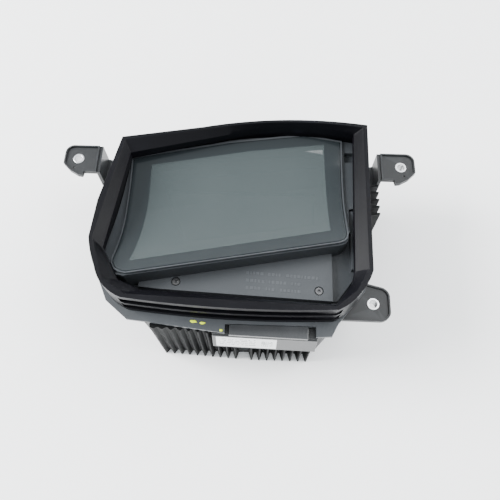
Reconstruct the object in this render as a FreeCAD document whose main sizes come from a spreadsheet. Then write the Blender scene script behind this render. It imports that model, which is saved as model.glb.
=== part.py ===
import FreeCAD, Part
import Sketcher
import math
import os
import re

# Vehicle head-up display unit: a sealed black case with three mounting ears, a tall light
# shield round a curved cover glass, two finned heat sinks, and inside it the picture unit,
# a fold mirror and a concave mirror that a small stepper motor tilts.
# +X is the unit's right, +Y is vehicle forward, +Z is up. Z = 0 is the surface it stands on.

V = FreeCAD.Vector
doc = FreeCAD.newDocument("display_unit")
sheet = doc.addObject("Spreadsheet::Sheet", "dims")

SIZES = [
    # case, in plan: distance of each side from the origin
    ("case_right", 104), ("case_front", 77), ("case_left", 107), ("case_rear", 88.2),
    ("case_top", 82), ("case_wall", 2.5), ("floor_thick", 3), ("case_draft", 13),
    ("corner_cut", 34), ("rear_skew", 27),
    # upper case plate and light shield
    ("plate_thick", 3), ("plate_lip_left", 5), ("plate_lip_right", 4), ("plate_lip_front", 7),
    ("shield_height", 33), ("shield_wall", 2.5), ("rim_thick", 14), ("rim_undercut", 4),
    ("flare_depth", 7),
    ("groove_depth", 3.6), ("groove_height", 9.5), ("groove_rib", 4), ("groove_base", 4.5),
    ("groove_left", 84), ("groove_right", 84), ("groove_skin", 1.4),
    # cover glass: part of a tube, bent across the unit and turned in plan
    ("glass_radius", 147), ("glass_rise", 10.8), ("glass_centre", 40.6), ("glass_turn", 9.2),
    ("glass_thick", 2), ("tape_thick", 0.6), ("glass_gap", 0.4), ("frame_lip", 1.4),
    ("turret_skin", 2.6), ("shield_gap", 0.5),
    # ledge beside the glass
    ("ledge_rise", 7), ("low_pad_rise", 2), ("side_pad_rise", 6), ("pocket_side", 8), ("pocket_depth", 4),
    ("bar_width", 4.6), ("bar_length", 52), ("bar_rise", 2),
    # mounting ears and their steel bushes
    ("ear_top", 71), ("ear_thick", 3), ("ear_lip", 1.4), ("ear_lip_width", 1.5),
    ("ear_span", 148.1), ("ear_y", 79), ("ear_reach", 12.8), ("ear_half", 13.8),
    ("ear_inner", 130), ("ear_drop", 21), ("front_ear_x", 115.6), ("front_ear_y", 52.4),
    ("front_ear_half", 14.8), ("ear_corner", 7), ("boss_radius", 8), ("boss_depth", 6.5),
    ("bush_outer", 5), ("bush_bore", 3.3), ("bush_proud", 0.3),
    ("hook_width", 4), ("hook_length", 7), ("hook_hole", 1.1),
    # front heat sink
    ("fin_pitch", 7.1), ("fin_first", 61.5), ("fin_root", 5.6), ("fin_tip", 1.1),
    ("fin_depth", 6.6), ("fin_top_depth", 2.6), ("fin_growth", 0.055), ("sink_base", 3),
    ("low_fin_top", 55), ("sink_left", 64.5), ("sink_right", 69.5), ("low_fin_depth", 9.5),
    # side heat sink
    ("side_pitch", 7.1), ("side_rear", 64), ("side_sink_length", 105), ("side_base", 4),
    ("side_fin_long", 28), ("side_fin_short", 14), ("side_fin_root", 5.6), ("side_top", 66),
    ("side_bottom", 8),
    # front cover and label
    ("cover_left", 14.5), ("cover_right", 69), ("cover_bottom", 57), ("cover_bulge", 11.3),
    ("cover_step", 1.3), ("cover_step_height", 2), ("cover_wall", 2),
    ("top_left", 1), ("top_right", 61), ("top_depth", 8), ("notch_left", 4.5),
    ("notch_right", 67), ("label_width", 48.5), ("label_height", 18), ("label_thick", 0.25),
    # mirror and its drive
    ("drive_room", 45), ("mirror_room", 34), ("mirror_tall", 74), ("mirror_thick", 3),
    ("mirror_radius", 420), ("mirror_angle", 35), ("hinge_y", 28), ("hinge_z", 38),
    ("pin_radius", 3), ("pin_length", 11), ("run_gap", 0.06), ("pivot_outer", 5),
    ("post_thick", 5), ("post_half", 8), ("post_radius", 3.5), ("gear_module", 0.8), ("sector_teeth", 90),
    ("pinion_teeth", 15), ("wheel_teeth", 45), ("mesh_gap", 0.12), ("gear_width", 3),
    ("gear_angle", 190), ("motor_radius", 10), ("motor_length", 13), ("axle_radius", 1.5),
    # electronics
    ("board_thick", 1.6), ("board_gap", 4.5), ("board_from_left", 15),
    ("board_from_right", 12), ("board_low", 8),
    ("board_high", 74), ("header_long", 26), ("header_deep", 12), ("header_tall", 14),
    ("header_wall", 1.8), ("header_x", 28),
    # picture unit
    ("picture_y", 12), ("picture_wide", 56), ("picture_low", 10), ("picture_tall", 42),
    ("picture_deep", 30), ("picture_wall", 2), ("panel_thick", 1.8), ("chip_side", 3.2),
    # fold mirror, from the left and front walls
    ("fold_from_left", 71), ("fold_from_front", 36),
    # fasteners
    ("screw_radius", 1.5), ("screw_head", 2.9), ("screw_head_tall", 2.2), ("screw_gap", 0.05),
    ("fit_gap", 0.3),
]
for row, (alias, value) in enumerate(SIZES, start=1):
    sheet.set("A%d" % row, alias)
    sheet.set("B%d" % row, str(value))
    sheet.setAlias("B%d" % row, alias)
doc.recompute()
NAMES = set(alias for alias, value in SIZES)
# places and sizes that follow the case round them
FITTED = {
    "glass_low": "case_top+glass_rise",
    "mirror_x": "(case_right-mirror_room-case_left+drive_room)/2",
    "mirror_half": "(case_right-mirror_room+case_left-drive_room)/2",
    "board_left": "case_left-corner_cut-board_from_left",
    "board_right": "case_right-corner_cut-board_from_right",
}


def full_name(match):
    """A bare size name as the sheet knows it, or the rule that a fitted one follows."""
    word = match.group(0)
    if word in FITTED:
        return "(%s)" % bind(FITTED[word])
    return "dims." + word if word in NAMES else word


def bind(text):
    """An expression on the sheet, written with bare size names."""
    return re.sub(r"[a-z_][a-z0-9_]*", full_name, str(text))


def number(text):
    """The present value of such an expression."""
    result = sheet.evalExpression(bind(text))
    return float(getattr(result, "Value", result))


def tie(item, prop, text):
    item.setExpression(prop, bind(text))


def place(item, x=0, y=0, z=0):
    for axis, text in (("x", x), ("y", y), ("z", z)):
        tie(item, "Placement.Base.%s" % axis, text)


def fill_sketch(sketch, corners):
    """A closed outline. A corner is (x, y) or (x, y, radius of the arc that leaves it)."""
    points = [V(number(c[0]), number(c[1]), 0) for c in corners]
    count = len(points)
    for i, corner in enumerate(corners):
        a, b = points[i], points[(i + 1) % count]
        if len(corner) < 3:
            sketch.addGeometry(Part.LineSegment(a, b), False)
            continue
        radius = number(corner[2])
        along = b - a
        out = V(along.y, -along.x, 0).normalize()
        rise = abs(radius) - math.sqrt(radius ** 2 - along.Length ** 2 / 4)
        middle = (a + b) * 0.5 + out * math.copysign(rise, radius)
        sketch.addGeometry(Part.Arc(a, middle, b), False)
    ends = []
    for i, corner in enumerate(corners):
        flipped = False
        if len(corner) == 3:
            flipped = (sketch.getPoint(i, 1) - points[i]).Length > 1e-6
        ends.append((2, 1) if flipped else (1, 2))
    for i, corner in enumerate(corners):
        j = (i + 1) % count
        sketch.addConstraint(Sketcher.Constraint("Coincident", i, ends[i][1], j, ends[j][0]))
        for kind, text in (("DistanceX", corner[0]), ("DistanceY", corner[1])):
            k = sketch.addConstraint(Sketcher.Constraint(kind, -1, 1, i, ends[i][0], number(text)))
            sketch.setExpression("Constraints[%d]" % k, bind(text))
    for i, corner in enumerate(corners):
        if len(corner) == 3:
            k = sketch.addConstraint(Sketcher.Constraint("Radius", i, abs(number(corner[2]))))
            sketch.setExpression("Constraints[%d]" % k, bind("abs(%s)" % corner[2]))


def outline(name, corners, z=0):
    """A free sketch on a level plane, for the pieces made of extruded outlines."""
    sketch = doc.addObject("Sketcher::SketchObject", name)
    fill_sketch(sketch, corners)
    tie(sketch, "Placement.Base.z", z)
    return sketch


def grown(name, source, amount):
    """The outline of a sketch, moved outwards, or inwards where the amount is negative."""
    item = doc.addObject("Part::Offset2D", name)
    item.Source = source
    item.Join = 2
    tie(item, "Value", amount)
    return item


def prism(name, base, height):
    item = doc.addObject("Part::Extrusion", name)
    item.Base = base
    item.DirMode = "Custom"
    item.Dir = V(0, 0, 1)
    item.Solid = True
    tie(item, "LengthFwd", height)
    return item


def solid_loft(name, sections):
    item = doc.addObject("Part::Loft", name)
    item.Sections = sections
    item.Solid = True
    item.Ruled = True
    return item


def box(name, x0, x1, y0, y1, z0, z1):
    item = doc.addObject("Part::Box", name)
    tie(item, "Length", "(%s)-(%s)" % (x1, x0))
    tie(item, "Width", "(%s)-(%s)" % (y1, y0))
    tie(item, "Height", "(%s)-(%s)" % (z1, z0))
    place(item, x0, y0, z0)
    return item


TURNS = {
    "z": FreeCAD.Rotation(),
    "-z": FreeCAD.Rotation(V(1, 0, 0), 180),
    "x": FreeCAD.Rotation(V(0, 1, 0), 90),
    "-x": FreeCAD.Rotation(V(0, 1, 0), -90),
    "y": FreeCAD.Rotation(V(1, 0, 0), -90),
    "-y": FreeCAD.Rotation(V(1, 0, 0), 90),
}


def rod(name, axis, x, y, z, radius, length):
    """A cylinder that starts at a point and runs along one axis."""
    item = doc.addObject("Part::Cylinder", name)
    tie(item, "Radius", radius)
    tie(item, "Height", length)
    item.Placement = FreeCAD.Placement(V(), TURNS[axis])
    place(item, x, y, z)
    return item


def cut(name, base, *tools):
    for i, tool in enumerate(tools):
        item = doc.addObject("Part::Cut", name if i == len(tools) - 1 else name + "_cut")
        item.Base = base
        item.Tool = tool
        base = item
    return base


def fuse(name, *items):
    item = doc.addObject("Part::MultiFuse", name)
    item.Shapes = list(items)
    item.Refine = True
    return item


def common(name, *items):
    item = doc.addObject("Part::MultiCommon", name)
    item.Shapes = list(items)
    return item


def group(name, items):
    item = doc.addObject("Part::Compound", name)
    item.Links = list(items)
    return item


nodes = []


def node(item, label):
    """Marks a finished sub-part: its label names its file."""
    item.Label = label
    nodes.append(item)
    return item


def body_sketch(body, name, plane, offset, corners):
    sketch = body.newObject("Sketcher::SketchObject", name)
    planes = [f for f in body.Origin.OriginFeatures if f.Role == plane]
    sketch.AttachmentSupport = [(planes[0], "")]
    sketch.MapMode = "FlatFace"
    tie(sketch, "AttachmentOffset.Base.z", offset)
    fill_sketch(sketch, corners)
    return sketch


def pad(body, name, plane, offset, corners, length, cuts=False):
    """A pad, or with cuts a pocket, of an outline on one of the body's own origin planes."""
    sketch = body_sketch(body, name + "_sketch", plane, offset, corners)
    item = body.newObject("PartDesign::Pocket" if cuts else "PartDesign::Pad", name)
    item.Profile = sketch
    tie(item, "Length", length)
    if cuts:
        item.Reversed = True
    return item


def new_body(label):
    body = doc.addObject("PartDesign::Body", label)
    return node(body, label)


def rectangle(x0, x1, y0, y1):
    return [(x0, y0), (x1, y0), (x1, y1), (x0, y1)]


def screws(label, axis, places, length, head=None):
    """Pan-head screws with a six-sided recess. The axis is the way the shank points."""
    parts = []
    back = {"z": "-z", "-z": "z", "x": "-x", "-x": "x", "y": "-y", "-y": "y"}[axis]
    for i, (x, y, z) in enumerate(places):
        shank = rod("shank", axis, x, y, z, "screw_radius", length)
        cap = rod("cap", back, x, y, z, head or "screw_head", "screw_head_tall")
        drive = doc.addObject("Part::Prism", "drive")
        drive.Polygon = 6
        tie(drive, "Circumradius", "screw_head*0.5")
        tie(drive, "Height", "screw_head_tall")
        drive.Placement = FreeCAD.Placement(V(), TURNS[back])
        step = {"x": V(1, 0, 0), "y": V(0, 1, 0), "z": V(0, 0, 1)}[back[-1]]
        if back[0] == "-":
            step = step * -1
        lift = ["(%s)+(%g)*screw_head_tall*0.4" % (text, part) for text, part in zip((x, y, z), step)]
        place(drive, *lift)
        parts.append(cut("screw", fuse("screw_blank", shank, cap), drive))
    return node(group(label, parts), label)


# ---------------------------------------------------------------- outlines shared by the pieces
ledge_screw_places = [("-case_left+62", "-case_front+31.7"), ("case_right-35.2", "-case_front+27.3")]
case_corners = [
    ("-case_left+corner_cut+5", "-case_front"),
    ("case_right-corner_cut+8", "-case_front"),
    ("case_right", "-case_front+corner_cut-3"),
    ("case_right", "case_rear-9"),
    ("case_right/2", "case_rear"),
    ("-case_left*0.28", "case_rear-10"),
    ("-case_left+13", "case_rear-rear_skew"),
    ("-case_left", "-18"),
    ("-case_left+4", "-case_front+corner_cut-1"),
]
foot_corners = [
    ("-case_left+corner_cut+9", "-case_front"),
    ("case_right-corner_cut+4", "-case_front"),
    ("case_right", "-case_front+corner_cut"),
    ("case_right", "case_rear-case_draft"),
    ("case_right/2", "case_rear-case_draft+4"),
    ("-case_left*0.28", "case_rear-case_draft-6"),
    ("-case_left+case_draft+10", "case_rear-rear_skew-8"),
    ("-case_left+case_draft+2", "-14"),
    ("-case_left+case_draft+6", "-case_front+corner_cut+5"),
]
rim_corners = [
    ("-case_left+26", "-case_front+9", "926"),
    ("case_right-24", "-case_front+4.5", "41"),
    ("case_right-7.5", "-case_front+18", "49"),
    ("case_right+plate_lip_right-1", "-case_front+36.5"),
    ("case_right+plate_lip_right+1", "case_rear+2.5", "390"),
    ("-case_left*0.28", "case_rear-4"),
    ("-case_left+10.4", "case_rear-15.8"),
    ("-case_left-2", "12"),
    ("-case_left-4.5", "-20", "94"),
    ("-case_left+3", "-case_front+33.5", "43"),
    ("-case_left+9", "-case_front+21", "38"),
]
mouth_corners = [
    ("-case_left+38.5", "-case_front+17.7"),
    ("case_right-25", "-case_front+10.4"),
    ("case_right-12.3", "-case_front+27"),
    ("case_right-9.6", "-case_front+37.6"),
    ("case_right-5.6", "case_rear-2.7", "215"),
    ("-7", "case_rear-6"),
    ("-case_left+17.5", "case_rear-27"),
    ("-case_left+6", "-26"),
    ("-case_left+20.4", "-case_front+25.5"),
]
flare_corners = [
    ("-case_left+29", "-case_front+11.7"),
    ("case_right-25.5", "-case_front+7.3"),
    ("case_right-10", "-case_front+20"),
    ("case_right", "-case_front+37.5"),
    ("case_right+1.5", "case_rear-0.4", "350"),
    ("-12", "case_rear-3"),
    ("-case_left+13", "case_rear-18.4"),
    ("-case_left-1.7", "-21"),
    ("-case_left+11", "-case_front+22.5"),
]
ledge_corners = [
    ("-case_left+32.6", "-case_front+26.5"),
    ("-case_left+50", "-case_front+25"),
    ("14", "-case_front+21.8"),
    ("case_right-24.5", "-case_front+19"),
    ("case_right-24.5", "case_rear"),
    ("-case_left+32.6", "case_rear"),
]
low_pad_corners = [
    ("case_right-25", "-case_front+20.4"),
    ("case_right-20.5", "-case_front+20.3"),
    ("case_right-6.2", "-case_front+40"),
    ("case_right-5.5", "28"),
    ("case_right-25", "28"),
]
panel_corners = [
    ("case_right-20", "-case_front+70"),
    ("case_right-10.5", "-case_front+74"),
    ("case_right-9.5", "22"),
    ("case_right+3", "26"),
    ("case_right+3", "case_rear+30"),
    ("case_right-20", "case_rear+30"),
]
plate_corners = [
    ("-case_left+24.6", "-case_front+1.7"),
    ("-case_left+44.3", "-case_front-0.3"),
    ("-notch_left", "-case_front-plate_lip_front"),
    ("-notch_left", "-case_front+fit_gap"),
    ("notch_right", "-case_front+fit_gap"),
    ("notch_right", "-case_front-plate_lip_front-1.2"),
    ("case_right-24.7", "-case_front-plate_lip_front-0.3"),
    ("case_right-19.5", "-case_front+3"),
    ("case_right+plate_lip_right-1", "-case_front+31"),
    ("case_right+plate_lip_right+1", "case_rear+2.5", "390"),
    ("-case_left*0.28", "case_rear-4"),
    ("-case_left+10.4", "case_rear-15.8"),
    ("-case_left-2", "12"),
    ("-case_left-plate_lip_left", "-18"),
    ("-case_left-1.1", "-case_front+32.4"),
    ("-case_left+6.4", "-case_front+16.5"),
]
glass_corners = [
    ("-case_left+26", "-case_front+31.9"),
    ("case_right-21.5", "-case_front+63.4"),
    ("case_right-17.4", "-case_front+65"),
    ("case_right-15", "-case_front+68.2"),
    ("case_right-14", "-case_front+73"),
    ("case_right-14.8", "26"),
    ("case_right-15", "case_rear-1"),
    ("case_right/2+5", "case_rear+3"),
    ("-case_left*0.07", "case_rear-6.5"),
    ("-case_left+17", "case_rear-24"),
    ("-case_left+16.5", "21", "-320"),
    ("-case_left+13.2", "-case_front+45.5"),
    ("-case_left+13.8", "-case_front+40.8"),
    ("-case_left+16.4", "-case_front+36.4"),
    ("-case_left+20.6", "-case_front+33.3"),
]
clear_corners = [
    ("-case_left+26.3", "-case_front+42.5"),
    ("case_right-29.4", "-case_front+74.8"),
    ("case_right-32", "case_rear-3.5"),
    ("10", "case_rear-12.5"),
    ("-case_left+32", "case_rear-29"),
    ("-case_left+33", "22"),
    ("-case_left+31", "-3"),
]

case_top_line = outline("case_line", case_corners, "case_top-tape_thick")
case_foot_line = outline("foot_line", foot_corners, 0)
rim_line = outline("rim_line", rim_corners, "case_top+plate_thick")
mouth_line = outline("mouth_line", mouth_corners, "case_top+plate_thick")
plate_line = outline("plate_line", plate_corners, "case_top")
glass_line = outline("glass_line", glass_corners, "case_top")
clear_line = outline("clear_line", clear_corners, "case_top")

turn = math.radians(number("glass_turn"))
across = V(math.cos(turn), math.sin(turn), 0)
TUBE_HALF = 250


def glass_tube(name, radius):
    """The glass is bent round this tube, which lies above it across the unit."""
    item = doc.addObject("Part::Cylinder", name)
    tie(item, "Radius", radius)
    item.Height = 2 * TUBE_HALF
    middle = V(-number("glass_centre") * math.sin(turn), number("glass_centre") * math.cos(turn),
               number("glass_low+glass_radius"))
    spin_up = FreeCAD.Rotation(V(0, 0, 1), number("glass_turn")).multiply(TURNS["x"])
    item.Placement = FreeCAD.Placement(middle - across * TUBE_HALF, spin_up)
    return item


def glass_layer(name, base, inner, outer):
    """The part of an upright prism that lies between two tubes on the glass's axis."""
    column = prism(name + "_column", base, "shield_height+20")
    layer = cut(name + "_layer", glass_tube(name + "_outer", outer), glass_tube(name + "_inner", inner))
    return common(name + "_bent", column, layer)


# ---------------------------------------------------------------- lower case with its ears
def ear_corners(side):
    """Outline of a rear ear, with the small hook on its front edge. side is 1 or -1."""
    shape = [
        ("ear_inner", "ear_y-ear_half"),
        ("ear_span-hook_length", "ear_y-ear_half"),
        ("ear_span-hook_length+1", "ear_y-ear_half-hook_width"),
        ("ear_span-hook_length+5", "ear_y-ear_half-hook_width+0.5"),
        ("ear_span+ear_reach-ear_corner", "ear_y-ear_half+1"),
        ("ear_span+ear_reach", "ear_y-ear_half+ear_corner+1", "ear_corner*30"),
        ("ear_span+ear_reach", "ear_y+ear_half-ear_corner", "ear_corner+1"),
        ("ear_span+ear_reach-ear_corner-1", "ear_y+ear_half"),
        ("ear_inner", "ear_y+ear_half"),
    ]
    if side > 0:
        return shape
    flipped = []
    for i in range(len(shape)):
        start = shape[(len(shape) - i) % len(shape)]
        leaving = shape[len(shape) - 1 - i]
        flipped.append(("-(%s)" % start[0], start[1]) + tuple(leaving[2:]))
    return flipped


def foot_of_ear(side):
    """The lower shelf that joins a rear ear to the case wall."""
    reach = "case_right-12" if side > 0 else "case_left-50"
    mid = "case_right-8" if side > 0 else "case_left-12"
    shape = [
        (mid, "ear_y-ear_half" if side > 0 else "case_rear-rear_skew-12"),
        ("ear_inner", "ear_y-ear_half"),
        ("ear_inner", "ear_y+ear_half"),
        (mid, "case_rear-2"),
        (reach, "case_rear-24"),
    ]
    if side > 0:
        return shape
    return [("-(%s)" % x, y) for x, y in reversed(shape)]


front_ear_corners = [
    ("front_ear_x-31", "-front_ear_y-14.5"),
    ("front_ear_x+6", "-front_ear_y-front_ear_half", "ear_corner+2"),
    ("front_ear_x+14", "-front_ear_y-7"),
    ("front_ear_x+14", "-front_ear_y+7", "ear_corner+2"),
    ("front_ear_x+8", "-front_ear_y+front_ear_half-0.7"),
    ("front_ear_x-7", "-front_ear_y+front_ear_half+3"),
    ("front_ear_x-18", "-front_ear_y+front_ear_half+1"),
]


def lipped_plate(name, corners):
    flat = outline(name + "_line", corners, "ear_top-ear_thick")
    high = outline(name + "_rim_line", corners, "ear_top")
    rim = prism(name + "_rim", high, "ear_lip")
    dish = prism(name + "_dish", grown(name + "_in", high, "-ear_lip_width"), "ear_lip+1")
    return [prism(name, flat, "ear_thick"), cut(name + "_lip", rim, dish)]


ear_places = [("-ear_span", "ear_y"), ("ear_span", "ear_y"), ("front_ear_x", "-front_ear_y")]
shell = [solid_loft("tub_outer", [case_foot_line, case_top_line])]
for side in (-1, 1):
    tag = "ear_right" if side > 0 else "ear_left"
    shell += lipped_plate(tag, ear_corners(side))
    shelf_line = outline(tag + "_shelf_line", foot_of_ear(side), "ear_top-ear_drop-ear_thick")
    shell.append(prism(tag + "_shelf", shelf_line, "ear_thick"))
    near, far = ("ear_inner-ear_thick", "ear_inner") if side > 0 else ("-ear_inner", "-ear_inner+ear_thick")
    shell.append(box(tag + "_riser", near, far, "ear_y-ear_half", "ear_y+ear_half",
                     "ear_top-ear_drop-ear_thick", "ear_top"))
shell += lipped_plate("ear_front", front_ear_corners)
for i, (x, y) in enumerate(ear_places):
    shell.append(rod("ear_boss", "-z", x, y, "ear_top", "boss_radius", "ear_thick+boss_depth"))

cavity = solid_loft("tub_inner", [
    grown("foot_inner", outline("foot_inner_line", foot_corners, "floor_thick"), "-case_wall"),
    grown("case_inner", outline("case_inner_line", case_corners, "case_top-tape_thick"), "-case_wall"),
])
hinge_places = ["mirror_x-mirror_half-3.5-pin_length+0.5",
                "mirror_x+mirror_half+3.5+pin_length-0.5-post_thick"]
posts = []
for x in hinge_places:
    posts.append(box("post", x, x + "+post_thick", "hinge_y-post_half", "hinge_y+post_half",
                     "floor_thick-1", "hinge_z+post_half"))
for x, y in ledge_screw_places:
    posts.append(rod("screw_post", "z", x, y, "floor_thick-1", "post_radius",
                     "case_top-tape_thick-floor_thick+1"))
board_screw_places = [(x, z) for x in ("-board_left+6", "board_right-6")
                      for z in ("board_low+6", "board_high-6")]
for x, z in board_screw_places:
    posts.append(rod("standoff", "-y", x, "-case_front+case_wall+board_gap", z, "post_radius",
                     "board_gap+0.5"))
for y in ("-picture_y-picture_wide/2+2", "-picture_y+picture_wide/2-6"):
    posts.append(box("picture_rest", "case_right-case_wall-22", "case_right-case_wall-4", y, y + "+4",
                     "floor_thick-1", "picture_low"))
tub = fuse("tub_posts", cut("tub_hollow", fuse("tub_outer_all", *shell), cavity), *posts)
holes = []
for x, y in ear_places:
    holes.append(rod("bush_hole", "-z", x, y, "ear_top+2", "bush_outer", "ear_thick+boss_depth+10"))
for side in ("", "-"):
    holes.append(rod("hook_eye", "-z", side + "(ear_span+2.5)", "ear_y-ear_half+4.5", "ear_top+1",
                     "hook_hole", "ear_thick+5"))
for x in hinge_places:
    holes.append(rod("post_hole", "x", x + "-1", "hinge_y", "hinge_z", "pivot_outer", "post_thick+2"))
holes.append(box("chip_window", -17, 17, "-case_front-1", "-case_front+case_wall+1", 16, 48))
holes.append(box("lamp_window", "case_right-case_wall-1", "case_right+1", "-picture_y-20.3",
                 "-picture_y+20.3",
                 "picture_low+5.7", "picture_low+picture_tall-5.7"))
holes.append(box("header_hole", "header_x-header_long/2-fit_gap", "header_x+header_long/2+fit_gap",
                 "-case_front+case_wall+board_gap+board_thick-fit_gap",
                 "-case_front+case_wall+board_gap+board_thick+header_deep+fit_gap", -1, "floor_thick+1"))
holes.append(rod("vent_hole", "z", -10, 20, -1, 2, "floor_thick+2"))
holes.append(rod("vent_seat", "z", -10, 20, -1, 7.2, 2.2))
lower_case_blank = tub
lower_case_holes = holes

vent = cut("vent_ring", rod("vent_disc", "z", -10, 20, 0.5, 7, 0.7),
           rod("vent_eye", "z", -10, 20, 0.4, 0.4, 1))
node(vent, "vent_membrane")
bushes = []
for x, y in ear_places:
    ring = rod("bush_ring", "-z", x, y, "ear_top+bush_proud", "bush_outer", "ear_thick+boss_depth+bush_proud")
    eye = rod("bush_eye", "-z", x, y, "ear_top+1", "bush_bore", "ear_thick+boss_depth+5")
    bushes.append(cut("bush", ring, eye))
node(group("bushes", bushes), "mount_bushes")

seal_line = outline("seal_line", case_corners, "case_top-tape_thick")
seal = cut("seal_ring", prism("seal_outer", grown("seal_out", seal_line, "-0.4"), "tape_thick"),
           prism("seal_inner", grown("seal_in", seal_line, "-case_wall+0.4"), "tape_thick"))
node(seal, "case_seal")

# ---------------------------------------------------------------- upper case, glass and shield
TUBE_UNDER = "glass_radius+glass_thick+tape_thick"
plate = prism("plate_slab", plate_line, "plate_thick")
inside_shield = grown("inside_shield", mouth_line, "rim_undercut-shield_gap")
under_rim = common("floor_under_rim",
                   prism("floor_in_mouth", inside_shield, "shield_height-rim_thick-shield_gap"),
                   prism("floor_in_wall", grown("floor_wall", rim_line, "-shield_wall-shield_gap"),
                         "shield_height"))
floor_block = fuse("floor_block", under_rim,
                   prism("floor_above", grown("mouth_fit", mouth_line, "-shield_gap"),
                   "shield_height+10"))
ledge_line = outline("ledge_line", ledge_corners, "case_top")
low_pad_line = outline("low_pad_line", low_pad_corners, "case_top")
panel_line = outline("panel_line", panel_corners, "case_top")
ledge = common("ledge_pad", floor_block, prism("ledge_form", ledge_line, "plate_thick+ledge_rise"))
low_pad = common("low_pad", floor_block, prism("low_form", low_pad_line, "plate_thick+low_pad_rise"))
side_panel = common("side_panel", floor_block, prism("panel_form", panel_line, "shield_height+10"))
bar = common("side_bar", floor_block,
             box("bar_zone", "case_right-8.8", "case_right-8.8+bar_width", "21-bar_length", 21,
             "case_top", "case_top+plate_thick+side_pad_rise+bar_rise"))
turret_line = outline("turret_line", [
    ("-case_left-25", "-case_front+33"), ("-case_left+15", "-case_front+31"),
    ("-case_left+24", "-case_front+28.5"), ("case_right-19", "-case_front+60.5", "10"),
    ("case_right-12", "-case_front+70"), ("case_right-12", "27"), ("case_right-12.5", "case_rear+30"),
    ("-case_left-25", "case_rear+30"),
], "case_top")
turret_block = common("turret_block", floor_block, prism("turret_prism", turret_line, "shield_height+10"))
turret = cut("turret", turret_block, glass_tube("turret_bend", TUBE_UNDER))
lip_ring = cut("lip_ring",
               prism("lip_outer", grown("lip_out", glass_line, "frame_lip+glass_gap"), "shield_height+20"),
               prism("lip_inner", grown("lip_in", glass_line, "glass_gap"), "shield_height+20"))
lip_layer = cut("lip_layer", glass_tube("lip_low", TUBE_UNDER), glass_tube("lip_high", "glass_radius+0.3"))
lip = common("glass_lip", lip_ring, lip_layer, floor_block)
hollow_block = common("hollow_block",
                      prism("hollow_a", grown("hollow_a_line", mouth_line, "-shield_gap-turret_skin"),
                      "shield_height+10"),
                      prism("hollow_b", grown("hollow_b_line", turret_line, "-turret_skin"),
                            "shield_height+10"))
hollow = cut("turret_hollow", hollow_block, glass_tube("hollow_bend", TUBE_UNDER + "+turret_skin"))
window = prism("window_hole", grown("window_line", clear_line, 3.5), "shield_height+20")
pocket = box("side_pocket", "case_right-11", "case_right-11+pocket_side", "case_rear-18",
             "case_rear-18+pocket_side+1",
             "case_top+plate_thick+side_pad_rise-pocket_depth", "case_top+shield_height+10")
screw_seats = []
for x, y in ledge_screw_places:
    screw_seats.append(rod("screw_seat", "z", x, y, "case_top+plate_thick+ledge_rise-screw_head_tall-0.3",
                           "screw_head+0.8", 10))
    screw_seats.append(rod("screw_way", "z", x, y, "case_top-5", "screw_radius+screw_gap", 13))
pads = cut("pads", fuse("pad_blanks", ledge, low_pad, side_panel, bar), glass_tube("pad_bend", TUBE_UNDER))
solid_upper = fuse("upper_blank", plate, pads, turret, lip)
node(cut("upper_solid", solid_upper, hollow, window, pocket, *screw_seats), "upper_case")

shield_body = cut("shield_body", prism("shield_outer", rim_line, "shield_height"),
                  prism("shield_mouth", mouth_line, "shield_height"))
flare = solid_loft("shield_flare", [
    outline("flare_foot", mouth_corners, "case_top+plate_thick+shield_height-flare_depth"),
    outline("flare_top", flare_corners, "case_top+plate_thick+shield_height"),
])
wall_limit = grown("wall_limit", rim_line, "-shield_wall")
undercut = common("shield_undercut", prism("undercut_a", grown("undercut_line", mouth_line, "rim_undercut"),
                  "shield_height-rim_thick"), prism("undercut_b", wall_limit, "shield_height-rim_thick"))
skin_a = prism("groove_skin_a", grown("groove_skin_mouth", mouth_line, "rim_undercut+groove_skin"),
               "shield_height")
skin_b = prism("groove_skin_b", grown("groove_skin_rim", rim_line, "-shield_wall+groove_skin"),
               "shield_height")
groove_limit = common("groove_limit", skin_a, skin_b)
grooves = []
for level in (0, 1):
    low = "case_top+plate_thick+groove_base+%d*(groove_height+groove_rib)" % level
    ring = cut("groove_ring",
               prism("groove_out", grown("groove_out_line", outline("groove_rim", rim_corners, low), 5),
                     "groove_height"),
               prism("groove_in",
                     grown("groove_in_line", outline("groove_rim_in", rim_corners, low),
                           "-groove_depth"), "groove_height"))
    zone = box("groove_zone", "-groove_left", "groove_right", "-case_front-20", "-case_front+22", low,
               low + "+groove_height")
    grooves.append(cut("groove", common("groove_ring_part", ring, zone), groove_limit))
node(cut("shield_solid", shield_body, undercut, flare, *grooves), "light_shield")

glass = glass_layer("glass", grown("glass_fit", glass_line, "-0.01"), "glass_radius",
                    "glass_radius+glass_thick")
node(glass, "cover_glass")
tape_frame = glass_layer("tape", grown("tape_out", glass_line, "-1"), "glass_radius+glass_thick", TUBE_UNDER)
tape_eye = prism("tape_eye", grown("tape_in", clear_line, "4.5"), "shield_height+20")
node(cut("tape_solid", tape_frame, tape_eye), "glass_tape")

baffle_line = outline("baffle_line", case_corners, "case_top-6")
baffle_eye_line = outline("baffle_eye_line", [
    ("-case_left+65", "-case_front+72.6"), ("case_right-27", "-case_front+93.5"),
    ("case_right-29", "case_rear-15"),
    ("-case_left+39.5", "case_rear-34"),
], "case_top-7")
post_ways = [rod("baffle_way", "z", x, y, "case_top-8", "post_radius+fit_gap", 5) for x,
             y in ledge_screw_places]
baffle = cut("baffle_solid", prism("baffle_slab", grown("baffle_in", baffle_line, "-case_wall-1.8"), 1.2),
             prism("baffle_eye", baffle_eye_line, 4), *post_ways)
node(baffle, "light_baffle")

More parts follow.
